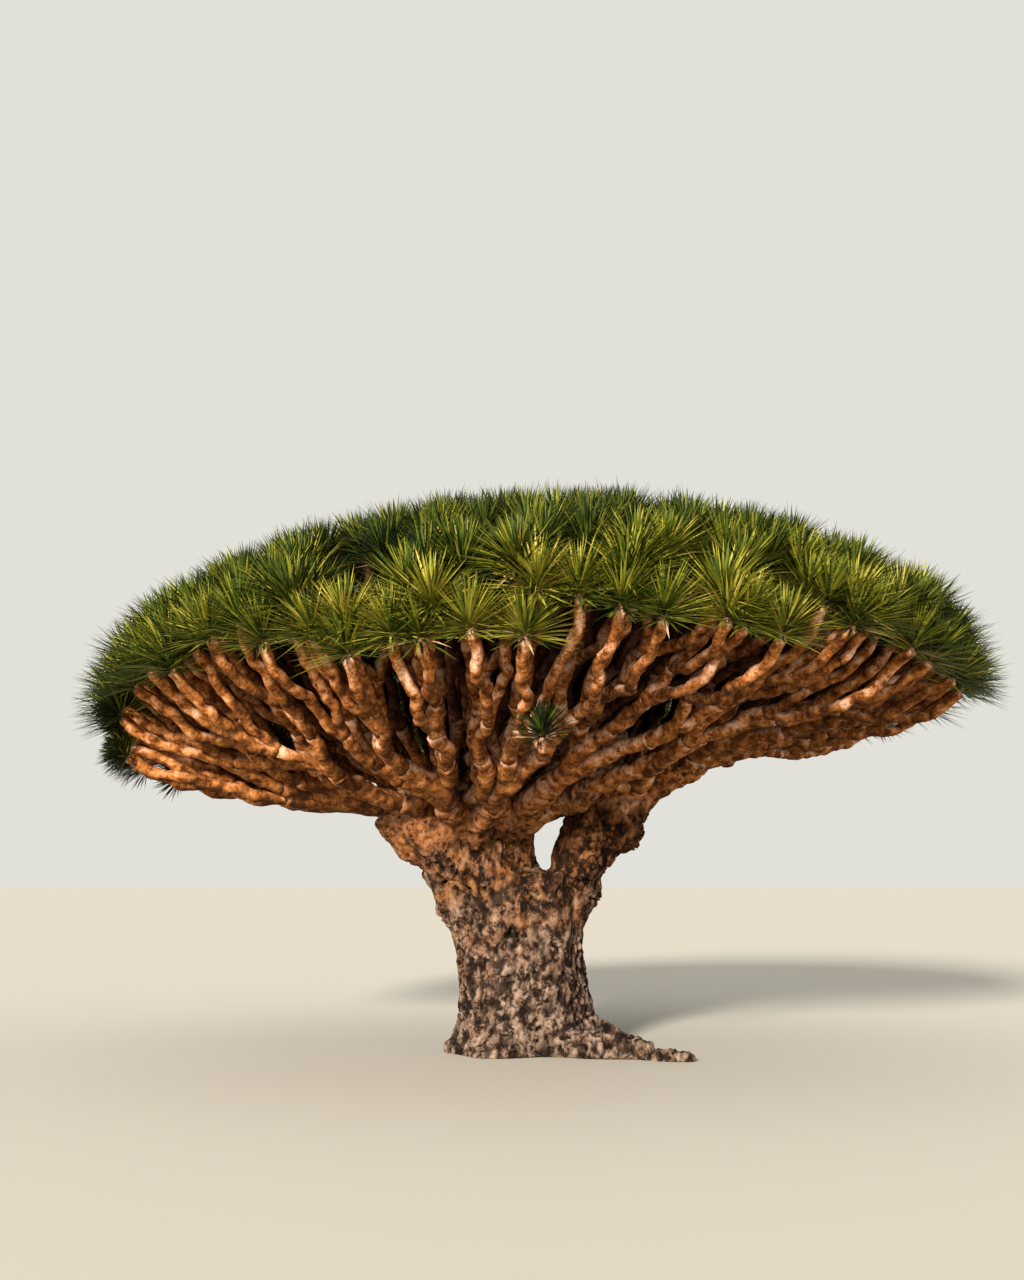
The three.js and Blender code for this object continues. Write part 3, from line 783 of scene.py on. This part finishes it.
def makeLeaves(tips):
    # One piece for each tint
    rng = np.random.default_rng(seeds["leaves"])
    columns = [np.concatenate(values) for values in zip(*(rosetteLeaves(tip, rng) for tip in tips))]
    foot, way, upper, length, tint = columns
    points = leafPoints(foot, way, upper, length, rng)
    shape = [[0, 1, 4, 3], [1, 2, 5, 4], [3, 4, 6], [4, 5, 6]]
    pieces = []
    for number, name in enumerate(tints):
        chosen = points[tint == number]
        firsts = np.arange(len(chosen))[:, None] * points.shape[1]
        faces = [face for corners in shape for face in (firsts + corners).tolist()]
        pieces.append(makeMesh(name, chosen.reshape(-1, 3), faces))
        print(name, len(chosen), "leaves")
    return pieces


# Materials

def linear(code):
    values = [int(code[i:i + 2], 16) / 255 for i in (1, 3, 5)]
    return (*[v / 12.92 if v <= 0.04045 else ((v + 0.055) / 1.055) ** 2.4 for v in values], 1)


def addNode(tree, kind, inputs=None, stops=None, **settings):
    # Adds a node with its settings, its inputs' values or links, and a ramp's stops
    node = tree.nodes.new("ShaderNode" + kind)
    for name, value in settings.items():
        setattr(node, name, value)
    for name, value in (inputs or {}).items():
        if isinstance(value, bpy.types.NodeSocket):
            tree.links.new(value, node.inputs[name])
        else:
            node.inputs[name].default_value = value
    if stops:
        spots = node.color_ramp.elements
        for spot, (place, colour) in zip(spots, (stops[0], stops[-1])):
            spot.position = place
            spot.color = linear(colour)
        for place, colour in stops[1:-1]:
            spots.new(place).color = linear(colour)
    return node


def startMaterial(name, **values):
    material = bpy.data.materials.new(name)
    material.use_nodes = True
    tree = material.node_tree
    shader = tree.nodes["Principled BSDF"]
    for key, value in values.items():
        shader.inputs[key].default_value = value
    return material, tree, shader


leafWax = {"grainMm": 20, "roughness": (0.48, 0.68)}  # the real veins are finer and wouldn't show


def leafMaterial(name, colour):
    # Waxy sword leaf: satin, with a grain that only dulls the gloss in places
    material, tree, shader = startMaterial(name, IOR=1.4)
    shader.inputs["Specular IOR Level"].default_value = 0.3
    shader.inputs["Base Color"].default_value = linear(colour)
    place = addNode(tree, "TexCoord").outputs["Object"]
    grain = addNode(tree, "TexNoise", {"Vector": place, "Scale": 1000 / leafWax["grainMm"], "Detail": 2.0})
    dull, dullest = leafWax["roughness"]
    rough = addNode(tree, "MapRange", {"Value": grain.outputs["Fac"], "To Min": dull, "To Max": dullest})
    tree.links.new(rough.outputs["Result"], shader.inputs["Roughness"])
    return material


bark = {
    # Of each noise the size in millimetres, the detail, the roughness, and whether it is drawn out
    # upward
    "noises": {"patches": (260, 6.0, 0.62, False), "mottle": (84, 8.0, 0.7, True),
               "knob": (85, 6.0, 0.68, False), "fine": (22, 5.0, 0.65, True)},
    "drawnOut": 0.7, "plateMm": 120, "plateBendMm": 84, "plateBend": 0.16, "speckMm": 46,
    "ringMm": 24, "ringBend": 6, "ringShare": 0.22,
    # How much of a noise is added to what the trunk's rust, its cracks, the painted highlight and shade on
    # the limbs and the change to limb bark depend on
    "rustNoise": 4.0, "crackNoise": 0.9, "wornNoise": 2.4, "ageNoise": 1.6,
    "rusty": {"From Min": 2.45, "From Max": 3.75}, "aged": {"From Min": 1.0, "From Max": 1.6},
    # Painted highlight where the bark faces out of the crown and a little up, less of it low down and at the
    # left
    "facingUp": 0.7, "facing": 1.3, "bleached": {"From Min": 1.4, "From Max": 2.15},
    "high": {"From Min": 1.95, "From Max": 2.6, "To Min": 0.2},
    "rightward": {"From Min": -2.4, "From Max": -0.9, "To Min": 0.5},
    "crackDepth": -0.35, "fineShare": 0.6, "bump": {"Strength": 0.8, "Distance": 0.015},
}
barkRamps = {  # the noise's value and the colour there, from the hollows to the crests
    "grey": [(0.36, "#0d0704"), (0.42, "#3c2a1b"), (0.5, "#715c4d"), (0.66, "#988474")],
    "rust": [(0.39, "#0e0603"), (0.45, "#3a200d"), (0.53, "#643b18"), (0.66, "#8c6440")],
    "brown": [(0.36, "#321909"), (0.44, "#80471a"), (0.53, "#ab6a31"), (0.65, "#c98d5b")],
    # pale: the colours of the painted highlight
    "pale": [(0.35, "#66402a"), (0.43, "#b58363"), (0.52, "#dbaa8b"), (0.63, "#e8c4aa")],
}
# All but the speck are painted shade
darkLayers = {  # where each begins and where it is full, how much of it there is then, and its colour
    "cracked": (0.52, 0.43, 0.9, "#1a0e07"),  # painted shade in the cracks, by the distance to a plate's edge
    "shaded": (1.4, 0.35, 0.9, "#3a200f"),  # by how far the bark faces out and up
    "speck": (0.26, 0.12, 0.6, "#2a150a"),  # by the distance to the middle of a speck
    "low": (2.3, 1.8, 0.5, "#3a2415"),  # painted shade low on the limbs, by the height
    "hollow": (0.15, 0.75, 0.93, "#140b06"),  # painted shade in the hollows, by the value that the mesh carries
    # painted shade deep inside the crown, by the value that the mesh carries; multiplied
    "inside": (0.0, 1.0, 0.93, "#482814"),
}


def readSurface(tree):
    # The places, directions and noises that the layers of the bark share
    place = addNode(tree, "TexCoord").outputs["Object"]
    spot = addNode(tree, "SeparateXYZ", {"Vector": place}).outputs
    tall = addNode(tree, "Mapping", {"Vector": place, "Scale": (1, 1, bark["drawnOut"])}).outputs["Vector"]
    at = {"place": place, "tall": tall, "x": spot["X"], "height": spot["Z"],
          "normal": addNode(tree, "NewGeometry").outputs["Normal"]}
    for name, (size, detail, rough, drawnOut) in bark["noises"].items():
        at[name] = addNode(tree, "TexNoise", {"Vector": tall if drawnOut else place, "Scale": 1000 / size,
                                              "Detail": detail, "Roughness": rough}).outputs["Fac"]
    return at


def twoTone(tree, value, names, share):
    # A colour between those that two ramps give the value
    a, b = (addNode(tree, "ValToRGB", {"Fac": value}, barkRamps[name]).outputs["Color"] for name in names)
    return addNode(tree, "Mix", {0: share, 6: a, 7: b}, data_type="RGBA").outputs[2]


def stain(tree, colour, name, value, **blend):
    # The colour with a dark layer over it, and the layer's share
    start, full, most, tint = darkLayers[name]
    share = addNode(tree, "MapRange", {"Value": value, "From Min": start, "From Max": full,
                                       "To Max": most}).outputs["Result"]
    stained = addNode(tree, "Mix", {0: share, 6: colour, 7: linear(tint)}, data_type="RGBA", **blend)
    return stained.outputs[2], share


def trunkLayer(tree, at):
    # Weathered grey plates that turn rusty higher up, with painted shade in the cracks between them
    height = addNode(tree, "Math", {0: at["patches"], 1: bark["rustNoise"], 2: at["height"]},
                     operation="MULTIPLY_ADD").outputs[0]
    rusty = addNode(tree, "MapRange", {"Value": height, **bark["rusty"]}).outputs["Result"]
    plain = twoTone(tree, at["mottle"], ("grey", "rust"), rusty)
    bend = addNode(tree, "TexNoise", {"Vector": at["place"], "Scale": 1000 / bark["plateBendMm"],
                                      "Detail": 4.0}).outputs["Color"]
    bent = addNode(tree, "VectorMath", {0: bend, 1: (bark["plateBend"],) * 3, 2: at["tall"]},
                   operation="MULTIPLY_ADD").outputs[0]
    edge = addNode(tree, "TexVoronoi", {"Vector": bent, "Scale": 1000 / bark["plateMm"]},
                   feature="DISTANCE_TO_EDGE").outputs["Distance"]
    sound = addNode(tree, "Math", {0: at["mottle"], 1: bark["crackNoise"], 2: edge},
                    operation="MULTIPLY_ADD").outputs[0]
    # painted shade along the plates' edges
    return stain(tree, plain, "cracked", sound)


def facingOut(tree, at):
    # How far the bark faces out of the crown and up, with the knobs' noise in it, for the painted highlight
    # and shade
    up = addNode(tree, "SeparateXYZ", {"Vector": at["normal"]}).outputs["Z"]
    level = addNode(tree, "VectorMath", {0: at["place"], 1: (1, 1, 0)}, operation="MULTIPLY").outputs[0]
    away = addNode(tree, "VectorMath", {0: level}, operation="NORMALIZE").outputs[0]
    out = addNode(tree, "VectorMath", {0: away, 1: at["normal"]}, operation="DOT_PRODUCT").outputs["Value"]
    both = addNode(tree, "Math", {0: up, 1: bark["facingUp"], 2: out}, operation="MULTIPLY_ADD").outputs[0]
    facing = addNode(tree, "Math", {0: both, 1: bark["facing"]}, operation="MULTIPLY").outputs[0]
    return addNode(tree, "Math", {0: at["knob"], 1: bark["wornNoise"], 2: facing},
                   operation="MULTIPLY_ADD").outputs[0]


def limbLayer(tree, at):
    # Orange-brown limb bark with knobs, specks and faint rings of leaf scars, with a painted highlight on the
    # side that faces out of the crown and painted shade on the others
    along = addNode(tree, "Attribute", attribute_name="along").outputs["Fac"]
    ringPlace = addNode(tree, "CombineXYZ", {"X": along, "Y": at["patches"],
                                             "Z": at["knob"]}).outputs["Vector"]
    scale = (1000 / bark["ringMm"], bark["ringBend"], bark["ringBend"])
    ringMap = addNode(tree, "Mapping", {"Vector": ringPlace, "Scale": scale}).outputs["Vector"]
    ring = addNode(tree, "TexNoise", {"Vector": ringMap, "Scale": 1.0, "Detail": 3.0,
                                      "Roughness": 0.6}).outputs["Fac"]
    surface = addNode(tree, "Mix", {0: bark["ringShare"], 2: at["knob"], 3: ring},
                      data_type="FLOAT").outputs[0]
    facingLight = facingOut(tree, at)
    high = addNode(tree, "MapRange", {"Value": at["height"], **bark["high"]}).outputs["Result"]
    rightward = addNode(tree, "MapRange", {"Value": at["x"], **bark["rightward"]}).outputs["Result"]
    most = addNode(tree, "Math", {0: high, 1: rightward}, operation="MULTIPLY").outputs[0]
    # painted highlight on the bark that faces out of the crown and up
    bleached = addNode(tree, "MapRange", {"Value": facingLight, "To Max": most,
                                          **bark["bleached"]}).outputs["Result"]
    colour = twoTone(tree, surface, ("brown", "pale"), bleached)
    speck = addNode(tree, "TexVoronoi", {"Vector": at["place"],
                                         "Scale": 1000 / bark["speckMm"]}).outputs["Distance"]
    # painted shade where the bark faces in and down and low on the limbs; the specks are the bark's own
    for name, value in (("shaded", facingLight), ("speck", speck), ("low", at["height"])):
        colour, _ = stain(tree, colour, name, value)
    return colour, surface


def barkMaterial(name):
    # Living bark, weathered and matt: old and grey on the trunk, orange-brown on the limbs, with painted
    # shade that makes it almost black in its hollows and dark deep inside the crown
    material, tree, shader = startMaterial(name, Roughness=0.95, IOR=1.45)
    shader.inputs["Specular IOR Level"].default_value = 0.15
    at = readSurface(tree)
    grown, hollow, inner = (addNode(tree, "Attribute", attribute_name=value).outputs["Fac"]
                            for value in ("age", "hollow", "inside"))
    shifted = addNode(tree, "Math", {0: at["mottle"], 1: bark["ageNoise"], 2: grown},
                      operation="MULTIPLY_ADD").outputs[0]
    aged = addNode(tree, "MapRange", {"Value": shifted, **bark["aged"]}).outputs["Result"]
    trunkColour, cracked = trunkLayer(tree, at)
    limbColour, surface = limbLayer(tree, at)
    colour = addNode(tree, "Mix", {0: aged, 6: trunkColour, 7: limbColour}, data_type="RGBA").outputs[2]
    # painted shade, almost black, in the bark's hollows
    colour, _ = stain(tree, colour, "hollow", hollow)
    # painted shade deep inside the crown, multiplied in
    colour, _ = stain(tree, colour, "inside", inner, blend_type="MULTIPLY")
    tree.links.new(colour, shader.inputs["Base Color"])

    sunk = addNode(tree, "Math", {0: cracked, 1: bark["crackDepth"], 2: at["mottle"]},
                   operation="MULTIPLY_ADD").outputs[0]
    lift = addNode(tree, "Mix", {0: aged, 2: sunk, 3: surface}, data_type="FLOAT").outputs[0]
    raised = addNode(tree, "Math", {0: at["fine"], 1: bark["fineShare"], 2: lift},
                     operation="MULTIPLY_ADD").outputs[0]
    bump = addNode(tree, "Bump", {"Height": raised, **bark["bump"]}).outputs["Normal"]
    tree.links.new(bump, shader.inputs["Normal"])
    return material


# Building

print("growing the limbs and twigs")
limbs, fineLimbs, starts = growLimbs()
tips = rosetteTips()
twigs = [*fineLimbs, *growTwigs(starts, tips)]
growInnerTuft(limbs, twigs, tips)
print(len(limbs), "limbs,", len(twigs), "branches and twigs,", len(tips), "rosettes")
woodPiece = makeWood(limbs)
branchPiece = makeTubes("branches", [path for path in twigs if isBranch(path)], tubes["branchSides"])
twigPiece = makeTubes("twigs", [path for path in twigs if not isBranch(path)], tubes["twigSides"])
leafPieces = makeLeaves(tips)

barkLook = barkMaterial("weatheredBark")
for piece in (woodPiece, branchPiece, twigPiece):
    piece.data.materials.append(barkLook)
for piece, colour in zip(leafPieces, tints.values()):
    piece.data.materials.append(leafMaterial(piece.name + "Wax", colour))

foliageNodes = [name for name in nodeNames if "foliage" in name]
woodNodes = [name for name in nodeNames if "foliage" not in name]
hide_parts(*woodNodes)
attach(woodPiece, "root")
for piece in (branchPiece, twigPiece):
    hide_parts(*foliageNodes)
    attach(piece, "root")
for piece in leafPieces:
    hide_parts(*foliageNodes)
    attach(piece, "root")

# Floor, light and camera

studio = {
    "floorSize": 160, "floorDrop": 0.001, "floorColour": "#b9b4aa", "skyColour": "#efeee6", "skyPower": 0.88,
    "keyFrom": (-5.2, -15.6, 5.6), "keyAngle": math.radians(9), "keyPower": 8.1, "keyColour": "#fff6ea",
}
view = {
    "place": (-0.09, -16.0, 1.71), "lens": 50, "sensor": 36, "farthest": 500,
    "photoHeightPx": 1280, "horizonPx": 855,  # the level horizon gives the tilt
}


def makeFloor():
    # Painted board, rolled on matt, so it takes a soft shadow and no gloss
    half = studio["floorSize"] / 2
    corners = np.array([(-half, -half, 0), (half, -half, 0), (half, half, 0), (-half, half, 0)])
    piece = makeMesh("floor", corners - np.array([0, 0, studio["floorDrop"]]), [[0, 1, 2, 3]], False)
    material, _, shader = startMaterial("palePaintedFloor", Roughness=0.8)
    shader.inputs["Base Color"].default_value = linear(studio["floorColour"])
    piece.data.materials.append(material)
    return piece


def lightStudio():
    world = bpy.data.worlds.new("paleStudio")
    world.use_nodes = True
    background = world.node_tree.nodes["Background"]
    background.inputs["Color"].default_value = linear(studio["skyColour"])
    background.inputs["Strength"].default_value = studio["skyPower"]
    bpy.context.scene.world = world
    key = bpy.data.lights.new("keyLight", "SUN")  # as soft as a large lamp far away
    key.angle, key.energy, key.color = studio["keyAngle"], studio["keyPower"], linear(studio["keyColour"])[:3]
    lamp = bpy.data.objects.new("keyLight", key)
    lamp.location = studio["keyFrom"]
    lamp.rotation_euler = (-lamp.location).to_track_quat("-Z", "Y").to_euler()
    bpy.context.scene.collection.objects.link(lamp)
    bpy.context.scene.view_settings.view_transform = "Standard"


def placeCamera():
    # At the photographer's eyes, tilted up as far as the horizon lies below the picture's middle
    camera = bpy.data.cameras.new("camera")
    camera.lens, camera.sensor_width, camera.clip_end = view["lens"], view["sensor"], view["farthest"]
    holder = bpy.data.objects.new("camera", camera)
    holder.location = view["place"]
    focusPx = view["photoHeightPx"] * view["lens"] / view["sensor"]
    tilt = math.atan((view["horizonPx"] - view["photoHeightPx"] / 2) / focusPx)
    holder.rotation_euler = (math.pi / 2 + tilt, 0, 0)
    bpy.context.scene.collection.objects.link(holder)
    bpy.context.scene.camera = holder


print("floor, light and camera")
floor = makeFloor()
lightStudio()
placeCamera()
